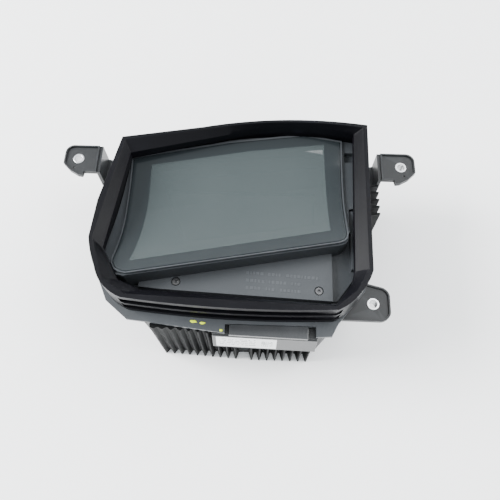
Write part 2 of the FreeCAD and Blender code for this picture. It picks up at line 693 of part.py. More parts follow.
# ---------------------------------------------------------------- front heat sink
def fin(x, top, depth_low, depth_top, face):
    """One cast fin: a tapered blade with a wide root and a narrow edge, drafted towards its top."""
    root = number("fin_root") / 2
    tip = number("fin_tip") / 2
    wires = []
    for z, depth in ((0, depth_low), (top, depth_top)):
        corners = [V(x - root, face + 1, z), V(x - root, face, z), V(x - tip, face - depth, z),
                   V(x + tip, face - depth, z), V(x + root, face, z), V(x + root, face + 1, z)]
        wires.append(Part.makePolygon(corners + corners[:1]))
    return Part.makeLoft(wires, True, True)


# the row of fins has one empty place, counted from the left
EMPTY_PLACE = 10
FIN_COUNT = 19
sink_face = -number("case_front+sink_base")
tall_top = number("case_top-1.5")
low_top = number("low_fin_top")
blades = []
for i in range(FIN_COUNT):
    if i == EMPTY_PLACE:
        continue
    x = -number("fin_first") + i * number("fin_pitch")
    hidden = x > -number("cover_left") - number("fin_root") / 2
    growth = number("fin_growth") * (x + number("fin_first"))
    if i < EMPTY_PLACE:
        low, high = number("fin_depth") - 3.4 + growth, number("fin_top_depth") - 1.6 + growth
    else:
        low, high = number("low_fin_depth") - 2.2, number("low_fin_depth") - 3.4
    blades.append(fin(x, low_top if hidden else tall_top, low, high, sink_face))
slab = Part.makeBox(number("sink_left+sink_right"), number("sink_base"), low_top,
                    V(-number("sink_left"), sink_face, 0))
tall_slab = Part.makeBox(number("sink_left-cover_left") - 1, number("sink_base"), tall_top,
                         V(-number("sink_left"), sink_face, 0))
pedestal = Part.makeBox(30, number("case_wall+1.2"), 28, V(-15, -number("case_front"), 18))
front_sink = doc.addObject("Part::Feature", "front_sink")
front_sink.Shape = slab.fuse([tall_slab, pedestal] + blades).removeSplitter()
sink_screw_places = [("-case_left+67", 12), ("-case_left+67", 66), ("case_right-64", 12),
                     ("case_right-64", 48)]
sink_ways = [rod("sink_way", "y", x, "-case_front-sink_base-1", z, "screw_radius+screw_gap", 10)
             for x, z in sink_screw_places]
node(cut("front_sink_solid", front_sink, *sink_ways), "front_heat_sink")

# ---------------------------------------------------------------- side heat sink
SIDE_COUNT = 14
side_x = number("case_right+side_base")
side_blades = []
for i in range(SIDE_COUNT):
    y = number("side_rear") - 3.2 - i * number("side_pitch")
    reach = number("side_fin_long") if y > 27 else number("side_fin_short")
    edge = reach - 4 - number("side_base")
    root = number("side_fin_root") / 2
    bottom, top = number("side_bottom"), number("side_top")
    corners = [V(side_x - 1, y - root, bottom), V(side_x, y - root, bottom),
               V(side_x + edge, y + root - 2, bottom),
               V(side_x + edge, y + root - 0.6, bottom), V(side_x, y + root, bottom), V(side_x - 1, y + root,
                                                                                        bottom)]
    face = Part.Face(Part.makePolygon(corners + corners[:1]))
    side_blades.append(face.extrude(V(0, 0, top - bottom)))
side_slab = Part.makeBox(number("side_base"), number("side_sink_length"), number("side_top-side_bottom"),
                         V(number("case_right"), number("side_rear-side_sink_length"), number("side_bottom")))
side_sink = doc.addObject("Part::Feature", "side_sink")
side_sink.Shape = side_slab.fuse(side_blades).removeSplitter()
side_screw_places = [(24, 14), (24, 58), (58, 14), (58, 58)]
side_ways = [rod("side_way", "x", "case_right-1", y, z, "screw_radius+screw_gap", 5) for y,
             z in side_screw_places]
node(cut("side_sink_solid", side_sink, *side_ways), "side_heat_sink")

# ---------------------------------------------------------------- front cover and label
cover = doc.addObject("PartDesign::Body", "cover_body")
COVER_TURN = -1.5
front = "-case_front"
cover_profile = [
    (front + "-cover_bulge", "cover_bottom"),
    (front + "-cover_bulge+3.5", "case_top-1.8-cover_step_height"),
    (front + "-cover_bulge+3.5+cover_step", "case_top-1.8-cover_step_height"),
    (front + "-cover_bulge+3.5+cover_step", "case_top-1.8"),
    (front + "-top_depth", "case_top-1.8"),
    (front + "-top_depth", "case_top+plate_thick-0.4"),
    (front + "+4", "case_top+plate_thick-0.4"),
    (front + "+4", "cover_bottom"),
]
pad(cover, "cover_form", "YZ_Plane", "-cover_left", cover_profile, "cover_left+cover_right")
for tag, x0, x1 in (("left", "-cover_left-1", "-top_left"), ("right", "top_right", "cover_right+1")):
    pad(cover, "end_" + tag, "XY_Plane", "case_top-1.8", rectangle(x0, x1, front + "-20", front + "+5"), 10,
        cuts=True)
pad(cover, "cover_hollow", "YZ_Plane", "-cover_left+cover_wall", [
    (front + "-cover_bulge+cover_wall+0.5", "cover_bottom-1"), (front + "+5", "cover_bottom-1"),
    (front + "+5", "case_top-6"), (front + "-cover_bulge+cover_wall+3.5", "case_top-6"),
], "cover_left+cover_right-2*cover_wall", cuts=True)
cover_pivot = V(-number("cover_left"), -number("case_front"), 0)
cover_swing = FreeCAD.Placement(V(), FreeCAD.Rotation(V(0, 0, 1), COVER_TURN), cover_pivot)
cover.Placement = cover_swing
node(cut("cover_solid", cover,
         box("cover_back", -100, 120, "-case_front-0.01", "-case_front+30", 0, "case_top+20")),
     "front_cover")

label_slope = math.atan2(3.5, number("case_top-1.8-cover_step_height-cover_bottom"))
plate_label = doc.addObject("Part::Box", "label_slab")
tie(plate_label, "Length", "label_width")
tie(plate_label, "Width", "label_thick")
tie(plate_label, "Height", "label_height")
label_start = V(-number("cover_left") + 3, -number("case_front+cover_bulge"), number("cover_bottom"))
lean = FreeCAD.Rotation(V(1, 0, 0), -math.degrees(label_slope))
label_start = label_start + lean.multVec(V(0, -number("label_thick"), 2))
plate_label.Placement = cover_swing.multiply(FreeCAD.Placement(label_start, lean))
node(plate_label, "id_label")

# ---------------------------------------------------------------- concave mirror and its carrier
BALL = "mirror_radius"
ball_centre = "5+mirror_radius"


def ball(name, radius):
    item = doc.addObject("Part::Sphere", name)
    tie(item, "Radius", radius)
    place(item, 0, 0, ball_centre)
    return item


def tilted(item, label):
    """Moves a piece made round the hinge line to its place in the case."""
    item.Placement = FreeCAD.Placement(V(number("mirror_x"), number("hinge_y"), number("hinge_z")),
                                       FreeCAD.Rotation(V(1, 0, 0), number("mirror_angle")))
    return node(item, label)


half, tall = "mirror_half-1", "(mirror_tall/2-5)"
mirror_shell = cut("mirror_shell", ball("ball_back", BALL + "+mirror_thick"), ball("ball_face", BALL))
mirror = common("mirror_blank", box("mirror_box", "-(%s)" % half, half, "-" + tall, tall, 0, 20),
                mirror_shell)
tilted(mirror, "concave_mirror")
frame = cut("carrier_bent",
            box("carrier_box", "-mirror_half", "mirror_half", "-" + tall + "-1", tall + "+1", -5, 9),
            ball("carrier_ball", BALL + "+mirror_thick"))
frame = cut("carrier_lightened", frame,
            box("carrier_pocket_a", "-mirror_half+6", -3, "-" + tall + "+5", tall + "-5", -9, -1),
            box("carrier_pocket_b", 3, "mirror_half-6", "-" + tall + "+5", tall + "-5", -9, -1))
cheeks = []
for side in (-1, 1):
    x0, x1 = ("mirror_half", "mirror_half+3.5") if side > 0 else ("-mirror_half-3.5", "-mirror_half")
    cheeks.append(box("cheek", x0, x1, -8, 8, -5, 9))
    start = "mirror_half+3.4" if side > 0 else "-mirror_half-3.4"
    cheeks.append(rod("pivot_pin", "x" if side > 0 else "-x", start, 0, 0, "pin_radius", "pin_length+0.1"))
tilted(fuse("carrier", frame, *cheeks), "mirror_carrier")
pivots = []
for x in hinge_places:
    ring = rod("pivot_ring", "x", x + "-0.2", "hinge_y", "hinge_z", "pivot_outer", "post_thick+0.4")
    eye = rod("pivot_eye", "x", x + "-1", "hinge_y", "hinge_z", "pin_radius+run_gap", "post_thick+3")
    pivots.append(cut("pivot", ring, eye))
node(group("pivots", pivots), "pivot_bushes")


# ---------------------------------------------------------------- gears
def involute(angle):
    return math.tan(angle) - angle


def tooth_points(teeth, centre_angle, module, slack):
    """One tooth of a 20 degree gear in the YZ plane, as (radius, angle) pairs."""
    pitch_r = module * teeth / 2
    base_r = pitch_r * math.cos(math.radians(20))
    root_r, top_r = pitch_r - 1.2 * module, pitch_r + 0.9 * module
    half_pitch = math.pi / (2 * teeth) - slack / (2 * pitch_r) + involute(math.radians(20))
    radii = [root_r] + [max(root_r, base_r) + (top_r - max(root_r, base_r)) * k / 4 for k in range(5)]
    halves = []
    for r in radii:
        pressure = math.acos(min(1.0, base_r / max(r, base_r)))
        halves.append((r, half_pitch - involute(pressure)))
    return [(r, centre_angle - h) for r, h in halves] + [(r, centre_angle + h) for r, h in reversed(halves)]


def gear_solid(teeth, first_angle, width, count=None):
    """A spur gear along X round the origin, or a sector of it with a hub."""
    module, slack = number("gear_module"), number("mesh_gap") / 2
    pairs = []
    shown = count or teeth
    for i in range(shown):
        step = i - (shown - 1) / 2 if count else i
        pairs += tooth_points(teeth, first_angle + step * 2 * math.pi / teeth, module, slack)
    points = [V(0, r * math.cos(a), r * math.sin(a)) for r, a in pairs]
    if count:
        points.append(V(0, 0, 0))
    face = Part.Face(Part.makePolygon(points + points[:1]))
    return face.extrude(V(width, 0, 0))


def feature(name, shape, at=V()):
    item = doc.addObject("Part::Feature", name)
    item.Shape = shape
    item.Placement = FreeCAD.Placement(at, FreeCAD.Rotation())
    return item


gear_width = number("gear_width")
module = number("gear_module")
sector_teeth, pinion_teeth = int(number("sector_teeth")), int(number("pinion_teeth"))
wheel_teeth = int(number("wheel_teeth"))
plane_a = number("mirror_x-mirror_half-3.5") - gear_width
plane_b = plane_a - gear_width - 0.8
to_idler = math.radians(number("gear_angle"))
to_motor = math.radians(120)
hinge = V(0, number("hinge_y"), number("hinge_z"))
reach_a = module * (sector_teeth + pinion_teeth) / 2 + number("mesh_gap")
reach_b = module * (wheel_teeth + pinion_teeth) / 2 + number("mesh_gap")
idler_at = hinge + V(0, math.cos(to_idler), math.sin(to_idler)) * reach_a
motor_at = idler_at + V(0, math.cos(to_motor), math.sin(to_motor)) * reach_b

SECTOR_SHOWN = 13
hub = Part.makeCylinder(9, gear_width, V(), V(1, 0, 0))
bore = Part.makeCylinder(number("pin_radius"), gear_width + 2, V(-1, 0, 0), V(1, 0, 0))
sector = gear_solid(sector_teeth, to_idler, gear_width, SECTOR_SHOWN).fuse(hub).cut(bore).removeSplitter()
node(feature("sector", sector, hinge + V(plane_a, 0, 0)), "sector_gear")

small = gear_solid(pinion_teeth, to_idler + math.pi + math.pi / pinion_teeth, gear_width + 0.5)
small.translate(V(plane_a - plane_b - 0.5, 0, 0))
large = gear_solid(wheel_teeth, to_motor, gear_width)
link = Part.makeCylinder(4, gear_width, V(0.5, 0, 0), V(1, 0, 0))
axle_bore = Part.makeCylinder(number("axle_radius+run_gap"), 30, V(-10, 0, 0), V(1, 0, 0))
idler = large.fuse([small, link]).cut(axle_bore).removeSplitter()
node(feature("idler", idler, idler_at + V(plane_b, 0, 0)), "idler_gear")

drive = gear_solid(pinion_teeth, to_motor + math.pi + math.pi / pinion_teeth, gear_width)
bracket_x = plane_b - 0.7 - 2
stem = Part.makeCylinder(1.5, gear_width + 3.7, V(-3.7, 0, 0), V(1, 0, 0))
node(feature("drive_pinion", drive.fuse(stem).removeSplitter(), motor_at + V(plane_b, 0, 0)), "motor_pinion")

bracket_low = number("floor_thick")
bracket_y0 = min(idler_at.y, motor_at.y) - 14
bracket_y1 = max(idler_at.y, motor_at.y) + 12
bracket_z1 = motor_at.z + 13
bracket = Part.makeBox(2, bracket_y1 - bracket_y0, bracket_z1 - bracket_low,
                       V(bracket_x, bracket_y0, bracket_low))
toe = Part.makeBox(12, bracket_y1 - bracket_y0, 2, V(bracket_x, bracket_y0, bracket_low))
gate = Part.makeBox(6, 14, 7, V(bracket_x + 1, idler_at.y + 16, bracket_low - 1))
shaft_hole = Part.makeCylinder(4.2, 6, V(bracket_x - 2, motor_at.y, motor_at.z), V(1, 0, 0))
pin_hole = Part.makeCylinder(number("axle_radius"), 6, V(bracket_x - 2, idler_at.y, idler_at.z), V(1, 0, 0))
bracket = bracket.fuse(toe).cut([gate, shaft_hole, pin_hole]).removeSplitter()
motor_screw_places = [(motor_at.y, motor_at.z + lift) for lift in (-14, 14)]
motor_ways = [Part.makeCylinder(number("screw_radius+screw_gap"), 6, V(bracket_x - 2, y, z), V(1, 0, 0))
              for y, z in motor_screw_places]
toe_screw_places = [(bracket_x + 7, bracket_y0 + 5), (bracket_x + 7, bracket_y0 + 17)]
toe_ways = [Part.makeCylinder(number("screw_radius+screw_gap"), 8, V(x, y, 0)) for x, y in toe_screw_places]
node(feature("bracket", bracket.cut(motor_ways + toe_ways)), "drive_bracket")
axle = Part.makeCylinder(number("axle_radius"), plane_a + gear_width + 0.6 - bracket_x,
                         V(bracket_x, idler_at.y, idler_at.z), V(1, 0, 0))
node(feature("axle", axle), "idler_axle")

can = Part.makeCylinder(number("motor_radius"), number("motor_length"), V(), V(-1, 0, 0))
nose = Part.makeCylinder(4, 1.6, V(), V(1, 0, 0))
flange = Part.makeBox(1, 8, 34, V(-1, -4, -17))
hollow_nose = Part.makeCylinder(1.5 + 0.3, 5.6, V(-3.9, 0, 0), V(1, 0, 0))
motor = can.fuse([nose, flange]).cut(hollow_nose).removeSplitter()
motor.translate(motor_at + V(bracket_x, 0, 0))
node(feature("motor", motor.cut(motor_ways)), "stepper_motor")

# ---------------------------------------------------------------- control board
board_front = "-case_front+case_wall+board_gap"
board_back = board_front + "+board_thick"
board = doc.addObject("PartDesign::Body", "board_body")
pad(board, "board_form", "XY_Plane", "board_low",
    rectangle("-board_left", "board_right", board_front, board_back),
    "board_high-board_low")
board_ways = [rod("board_way", "y", x, board_front + "-1", z, "screw_radius+screw_gap", 4) for x,
              z in board_screw_places]
node(cut("board_solid", board, *board_ways), "control_board")
chips = [
    box("processor", -13, 13, "-case_front+case_wall+1.9", board_front, 19, 45),
    box("memory", 22, 34, board_front + "-1.2", board_front, 24, 33),
    box("driver", "-board_left+14", "-board_left+23", board_front + "-1.6", board_front, 26, 35),
    box("supply", "-board_left+10", "-board_left+22", board_front + "-3", board_front, 48, 60),
]
node(group("chips", chips), "board_chips")
thermal = box("pad_block", -15, 15, "-case_front+case_wall+1.2", "-case_front+case_wall+1.9", 18, 46)
node(thermal, "thermal_pad")
cans = [rod("can", "y", "-board_left+12+%d*11" % i, board_back, 62, 4, 9) for i in range(3)]
node(group("cans", cans), "board_capacitors")

header = new_body("harness_header")
hx0, hx1 = "header_x-header_long/2", "header_x+header_long/2"
pad(header, "header_form", "XY_Plane", "0.6", rectangle(hx0, hx1, board_back, board_back + "+header_deep"),
    "header_tall")
pad(header, "header_mouth", "XY_Plane", "0", rectangle(hx0 + "+header_wall", hx1 + "-header_wall",
    board_back + "+header_wall", board_back + "+header_deep-header_wall"), "header_tall-3", cuts=True)
pins = []
for i in range(8):
    for row in (0, 1):
        x, y = "header_x-10.5+%d*3" % i, board_back + "+header_deep/2-1.5+%d*3" % row
        pins.append(box("pin", x + "-0.32", x + "+0.32", y + "-0.32", y + "+0.32", 5, "header_tall-3"))
node(group("pins", pins), "header_pins")

# ---------------------------------------------------------------- picture unit
far_x = "case_right-case_wall"
near_x = far_x + "-picture_deep+2.5"
py0, py1 = "-picture_y-picture_wide/2", "-picture_y+picture_wide/2"
pz0, pz1 = "picture_low", "picture_low+picture_tall"
shell_box = box("picture_shell", near_x, far_x, py0, py1, pz0, pz1)
room = box("picture_room", near_x + "+picture_wall", far_x + "+1", py0 + "+picture_wall",
           py1 + "-picture_wall",
           pz0 + "+picture_wall", pz1 + "-picture_wall")
gate_eye = box("picture_gate", near_x + "-1", near_x + "+3", py0 + "+6", py1 + "-6", pz0 + "+6", pz1 + "-6")
flex_slot = box("flex_slot", near_x + "+picture_wall+0.2", near_x + "+picture_wall+1.6", py0 + "-1",
                py0 + "+3",
                pz0 + "+10", pz0 + "+24")
node(cut("picture_case_solid", shell_box, room, gate_eye, flex_slot), "picture_case")


def layer(label, start, thick, margin):
    """A flat piece across the picture unit's room, with a margin to its walls."""
    x0 = near_x + "+picture_wall+%s" % start
    m = "picture_wall+%s" % margin
    return node(box(label + "_block", x0, x0 + "+%s" % thick, py0 + "+" + m, py1 + "-(" + m + ")",
                    pz0 + "+" + m, pz1 + "-(" + m + ")"), label)


layer("display_panel", "0", "panel_thick", "0.3")
layer("light_diffuser", "6", "1.5", "0.3")
layer("lens_array", "13", "5", "0.3")
lamp_x = "case_right-board_thick"
node(box("lamp_board_block", lamp_x, "case_right", "-picture_y-20", "-picture_y+20", pz0 + "+6", pz1 + "-6"),
     "lamp_board")
lamps = []
for i in range(4):
    for j in range(3):
        y, z = "-picture_y-15+%d*10" % i, "picture_low+picture_tall/2-9+%d*9" % j
        lamps.append(box("lamp", lamp_x + "-1", lamp_x, y + "-chip_side/2", y + "+chip_side/2",
                         z + "-chip_side/2", z + "+chip_side/2"))
node(group("lamps", lamps), "lamp_chips")
flex = new_body("panel_flex")
fx = near_x + "+picture_wall+0.7"
pad(flex, "flex_form", "XY_Plane", pz0 + "+11", [
    (fx, py0 + "+2.3"), (fx, py0 + "-16"), ("board_right-4", board_back + "+0.3"),
    ("board_right-8", board_back + "+0.3"),
    ("board_right-8", board_back), ("board_right-3.8", board_back), (fx + "+0.3", py0 + "-16.1"),
    (fx + "+0.3", py0 + "+2.3"),
], 12)

# ---------------------------------------------------------------- fold mirror
fold_turn = FreeCAD.Rotation(V(0, 0, 1), -45)
fold_at = V(number("-case_left+fold_from_left"), number("-case_front+fold_from_front"), number("floor_thick"))


def folded(item, label):
    item.Placement = FreeCAD.Placement(fold_at, fold_turn)
    return node(item, label)


folded(group("fold_plate", [box("fold_glass", -29, 29, 0, 2, 14, 50)]), "fold_mirror")
stand_ways = [rod("stand_way", "z", x, 8, -1, "screw_radius+screw_gap", 6) for x in (-24, 24)]
stand = fuse("fold_stand", box("fold_back", -31, 31, -3, 0, 0, 52), box("fold_foot", -31, 31, -3, 12, 0, 2.5),
             box("fold_shelf", -31, 31, -3, 3.4, 12, 14))
folded(cut("fold_stand_solid", stand, *stand_ways), "fold_mirror_stand")
stand_screw_places = []
for x in (-24, 24):
    at = fold_turn.multVec(V(x, 8, 0)) + fold_at
    stand_screw_places.append((at.x, at.y))

# ---------------------------------------------------------------- fasteners and their holes
ledge_screw_z = "case_top+plate_thick+ledge_rise-screw_head_tall-0.3"
screws("ledge_screws", "-z", [(x, y, ledge_screw_z) for x, y in ledge_screw_places], 9)
screws("sink_screws", "-y", [(x, "-case_front+case_wall", z) for x, z in sink_screw_places],
       "case_wall+sink_base-0.2")
screws("side_sink_screws", "x", [("case_right-case_wall", y, z) for y, z in side_screw_places],
       "case_wall+side_base-0.3")
screws("board_screws", "-y", [(x, board_back, z) for x, z in board_screw_places], "board_thick+board_gap-0.2")
screws("motor_screws", "x", [("%g" % (bracket_x - 1), "%g" % y, "%g" % z) for y, z in motor_screw_places],
       2.9)
screws("bracket_screws", "-z", [("%g" % x, "%g" % y, "floor_thick+2") for x, y in toe_screw_places], 4.4)
screws("stand_screws", "-z", [("%g" % x, "%g" % y, "floor_thick+2.5") for x, y in stand_screw_places], 4.9)
for x, z in sink_screw_places:
    lower_case_holes.append(rod("sink_screw_way", "y", x, "-case_front-1", z, "screw_radius+screw_gap",
                                "case_wall+2"))
for y, z in side_screw_places:
    lower_case_holes.append(rod("side_screw_way", "x", "case_right-case_wall-1", y, z,
                                "screw_radius+screw_gap", "case_wall+2"))
for x, z in board_screw_places:
    lower_case_holes.append(rod("board_screw_way", "-y", x, "-case_front+case_wall+board_gap+1", z,
                                "screw_radius+screw_gap", "board_gap+1"))
for x, y in toe_screw_places + stand_screw_places:
    lower_case_holes.append(rod("floor_screw_way", "z", "%g" % x, "%g" % y, 0.5, "screw_radius+screw_gap",
                                "floor_thick"))
for x, y in ledge_screw_places:
    lower_case_holes.append(rod("post_screw_way", "-z", x, y, "case_top+1", "screw_radius+screw_gap", 4))
node(cut("lower_case_solid", lower_case_blank, *lower_case_holes), "lower_case")

# ---------------------------------------------------------------- checks and export
doc.recompute()
problems = []
for item in doc.Objects:
    if "Invalid" in item.State or "Error" in item.State:
        problems.append("%s: %s" % (item.Name, item.State))
for item in nodes:
    shape = item.Shape
    if shape.isNull() or not shape.isValid() or shape.Volume <= 0:
        problems.append("%s: bad shape" % item.Label)
if problems:
    raise RuntimeError("\n".join(problems))

os.makedirs("parts", exist_ok=True)
for item in nodes:
    item.Shape.exportStep("parts/%s.step" % item.Label)
    box_of = item.Shape.BoundBox
    print("%-18s solids %2d volume %9.1f  x %7.1f %7.1f  y %7.1f %7.1f  z %6.1f %6.1f" % (
        item.Label, len(item.Shape.Solids), item.Shape.Volume, box_of.XMin, box_of.XMax,
        box_of.YMin, box_of.YMax, box_of.ZMin, box_of.ZMax))
print("nodes", len(nodes))
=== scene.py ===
import math
import random

import bmesh
import bpy
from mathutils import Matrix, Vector


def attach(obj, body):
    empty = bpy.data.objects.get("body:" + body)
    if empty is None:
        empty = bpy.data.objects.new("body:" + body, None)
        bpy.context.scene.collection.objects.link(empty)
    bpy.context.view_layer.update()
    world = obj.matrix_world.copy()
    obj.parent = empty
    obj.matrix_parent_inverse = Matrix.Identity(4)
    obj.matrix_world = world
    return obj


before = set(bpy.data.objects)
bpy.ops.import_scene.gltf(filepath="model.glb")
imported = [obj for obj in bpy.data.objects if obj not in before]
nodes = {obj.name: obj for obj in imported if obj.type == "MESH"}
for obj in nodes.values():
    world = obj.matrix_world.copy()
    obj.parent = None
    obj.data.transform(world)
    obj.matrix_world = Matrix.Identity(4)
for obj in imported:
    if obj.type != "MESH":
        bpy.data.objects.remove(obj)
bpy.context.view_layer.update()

# ---------------------------------------------------------------- floor, lights and camera
# The unit stands by its heat sinks and flat base on a pale studio sheet that rolls up behind it.
# Two big diffusers light it, the stronger one from the left, in a bright and even room.
SHEET_WHITE = (0.94, 0.945, 0.945, 1)
SHEET_FIBRE = (0.97, 0.972, 0.972, 1)
SHEET_HALF = 6.0
SHEET_FLAT = 2.2
SHEET_ROLL = 1.5
SHEET_TOP = 5.0
# numbers of sockets that share a name with others of their node
MIX_FIRST, MIX_SECOND, MIX_RESULT = 6, 7, 2
OWN_PLACE = 3


class Grade:
    """A value, colour or direction inside a finish: sums on it add the nodes that work them out."""

    def __init__(self, tree, socket):
        self.tree = tree
        self.socket = socket

    def node(self, kind, settings=None, sockets=None, out=0):
        made = self.tree.nodes.new(kind)
        for name, value in (settings or {}).items():
            setattr(made, name, value)
        for name, value in (sockets or {}).items():
            if isinstance(value, Grade):
                self.tree.links.new(value.socket, made.inputs[name])
            else:
                made.inputs[name].default_value = value
        return Grade(self.tree, made.outputs[out] if len(made.outputs) else None)

    def sum(self, operation, first, second=0.0):
        return self.node("ShaderNodeMath", {"operation": operation}, {0: first, 1: second})

    def __add__(self, other):
        return self.sum("ADD", self, other)

    def __radd__(self, other):
        return self.sum("ADD", other, self)

    def __sub__(self, other):
        return self.sum("SUBTRACT", self, other)

    def __rsub__(self, other):
        return self.sum("SUBTRACT", other, self)

    def __mul__(self, other):
        return self.sum("MULTIPLY", self, other)

    def __rmul__(self, other):
        return self.sum("MULTIPLY", other, self)

    def __gt__(self, other):
        return self.sum("GREATER_THAN", self, other)

    def __lt__(self, other):
        return self.sum("LESS_THAN", self, other)

    def noise(self, scale, detail=3.0, rough=0.55):
        return self.node("ShaderNodeTexNoise", None, {"Vector": self, "Scale": scale, "Detail": detail,
                                                      "Roughness": rough})

    def grade(self, low, high):
        return self.node("ShaderNodeMapRange", {"interpolation_type": "SMOOTHSTEP"},
                         {"Value": self, "From Min": low, "From Max": high})

    def blend(self, first, second):
        return self.node("ShaderNodeMix", {"data_type": "RGBA"}, {"Factor": self, MIX_FIRST: first,
                                                                   MIX_SECOND: second}, MIX_RESULT)

    def part(self, axis):
        return self.node("ShaderNodeSeparateXYZ", None, {0: self}, "XYZ".index(axis))

    def relief(self, depth, strength=1.0):
        return self.node("ShaderNodeBump", None, {"Height": self, "Distance": depth, "Strength": strength})


def new_finish(name):
    """An empty material, and the place on the piece as a direction socket."""
    material = bpy.data.materials.new(name)
    material.use_nodes = True
    tree = material.node_tree
    tree.nodes.clear()
    place = Grade(tree, None).node("ShaderNodeTexCoord", None, None, OWN_PLACE)
    return material, place


def surface(material, place, **sockets):
    """Closes a finish with its shader; a name such as base_color stands for the socket Base Color."""
    words = {"specular": "Specular IOR Level"}
    inputs = {words.get(key, key.replace("_", " ").title()): value for key, value in sockets.items()}
    shader = place.node("ShaderNodeBsdfPrincipled", None, inputs)
    place.node("ShaderNodeOutputMaterial", None, {"Surface": shader})
    return material


sheet_mesh = bpy.data.meshes.new("studio_sheet")
bend = [(-SHEET_HALF, 0.0), (SHEET_FLAT, 0.0)]
for degrees in range(10, 91, 10):
    turn = math.radians(degrees)
    bend.append((SHEET_FLAT + SHEET_ROLL * math.sin(turn), SHEET_ROLL - SHEET_ROLL * math.cos(turn)))
bend.append((SHEET_FLAT + SHEET_ROLL, SHEET_TOP))
sheet_points = [(x, y, z) for y, z in bend for x in (-SHEET_HALF, SHEET_HALF)]
sheet_faces = [(2 * i, 2 * i + 1, 2 * i + 3, 2 * i + 2) for i in range(len(bend) - 1)]
sheet_mesh.from_pydata(sheet_points, [], sheet_faces)
sheet = bpy.data.objects.new("studio_sheet", sheet_mesh)
bpy.context.scene.collection.objects.link(sheet)
sheet_mesh.polygons.foreach_set("use_smooth", [True] * len(sheet_faces))
material, place = new_finish("sheet_white")
fibre = place.noise(40.0)
tone = fibre.blend(SHEET_WHITE, SHEET_FIBRE)
sheet_mesh.materials.append(surface(material, place, base_color=tone, roughness=0.85, specular=0.2))


LAMP_AIM = Vector((0, 0, 0.05))


def softbox(name, place, wide, tall, power):
    """A flat diffuser lamp that faces the middle of the unit."""
    lamp = bpy.data.lights.new(name, "AREA")
    lamp.shape = "RECTANGLE"
    lamp.size = wide
    lamp.size_y = tall
    lamp.energy = power
    box = bpy.data.objects.new(name, lamp)
    box.location = place
    box.rotation_euler = (LAMP_AIM - Vector(place)).to_track_quat("-Z", "Y").to_euler()
    bpy.context.scene.collection.objects.link(box)


softbox("softbox_left", (-2.1, 0.2, 1.5), 1.4, 1.4, 210)
softbox("softbox_right", (1.35, 0.35, 1.55), 1.7, 1.9, 60)

ROOM_COLOUR = (0.93, 0.97, 1.0, 1)
ROOM_STRENGTH = 1.70
world = bpy.data.worlds.new("studio")
world.use_nodes = True
room = world.node_tree
room.nodes["Background"].inputs["Color"].default_value = ROOM_COLOUR
room.nodes["Background"].inputs["Strength"].default_value = ROOM_STRENGTH
bpy.context.scene.world = world

CAMERA_PLACE = (0.01883, -0.18818, 0.497)
CAMERA_TILT = 23.0
CAMERA_ROLL = 1.88
LENS_LENGTH = 38.88
SENSOR_WIDE = 36.0
lens = bpy.data.cameras.new("camera")
lens.lens = LENS_LENGTH
lens.sensor_width = SENSOR_WIDE
camera = bpy.data.objects.new("camera", lens)
camera.location = CAMERA_PLACE
camera.rotation_euler = (math.radians(CAMERA_TILT), 0, math.radians(CAMERA_ROLL))
bpy.context.scene.collection.objects.link(camera)
bpy.context.scene.camera = camera

# ---------------------------------------------------------------- lower case with its three ears
# The bottom half is one injection moulding in black glass filled plastic, fine spark grain outside.
# The tool left its corners with a small radius, and handling has polished them a little.
CASE_BLACK = (0.0055, 0.0065, 0.0075, 1)
CASE_RUBBED = (0.014, 0.016, 0.018, 1)


def moulded(name, dark, rubbed, gloss, grain, depth, shine=0.42):
    """Grained black plastic: mottled colour, rubbed high spots and a fine spark texture."""
    material, place = new_finish(name)
    cloud = place.noise(28.0, 4.0)
    specks = place.noise(grain, 2.0, 0.6)
    handled = (cloud * 0.7 + specks * 0.3).grade(0.38, 0.72)
    edge = place.node("ShaderNodeNewGeometry", None, None, "Pointiness").grade(0.505, 0.58)
    wear = (handled * 0.35 + edge * 0.5).grade(0.0, 1.0)
    colour = wear.blend(dark, rubbed)
    rough = gloss + cloud * 0.10 - edge * 0.08
    bump = (specks + place.noise(grain * 3.1, 1.0) * 0.5).relief(depth, 0.9)
    return surface(material, place, base_color=colour, roughness=rough, normal=bump, specular=shine)


WELD_REACH = 0.000004
ROUNDED_ABOVE = math.radians(35)


def dress(name, material, edge=0.0, steps=2):
    """Gives a carried-over part its finish and, where it has any, the radius of its moulded edges."""
    part = nodes[name]
    part.data.materials.clear()
    part.data.materials.append(material)
    weld = part.modifiers.new("joined_faces", "WELD")
    weld.merge_threshold = WELD_REACH
    if edge:
        rounding = part.modifiers.new("edge_radius", "BEVEL")
        rounding.width = edge
        rounding.segments = steps
        rounding.limit_method = "ANGLE"
        rounding.angle_limit = ROUNDED_ABOVE
        rounding.use_clamp_overlap = True
        shading = part.modifiers.new("even_shading", "WEIGHTED_NORMAL")
        shading.keep_sharp = True


dress("lower_case", moulded("case_plastic", CASE_BLACK, CASE_RUBBED, 0.40, 1500.0, 0.00005), 0.0004)

# ---------------------------------------------------------------- upper case
# The lid of the unit carries the glass on a sloping seat, with a grained ledge in front of it.
# It is moulded in a paler black plastic than the tub, and raised mould marks stand in rows on the ledge.
LEDGE_BLACK = (0.028, 0.032, 0.036, 1)
LEDGE_PALE = (0.054, 0.059, 0.065, 1)
upper_finish = moulded("upper_plastic", LEDGE_BLACK, LEDGE_PALE, 0.46, 1300.0, 0.00007)
dress("upper_case", upper_finish, 0.0003)
LEDGE_TOP = 0.092
MARK_HEIGHT = 0.00018
MARK_TALL = 0.0027
MARK_EDGE = 0.00022
MARK_GAP = 0.0009
MARK_SUNK = 0.0001
ROW_SLOPE = 0.055
CORNERS = ((-1, -1), (1, -1), (1, 1), (-1, 1))


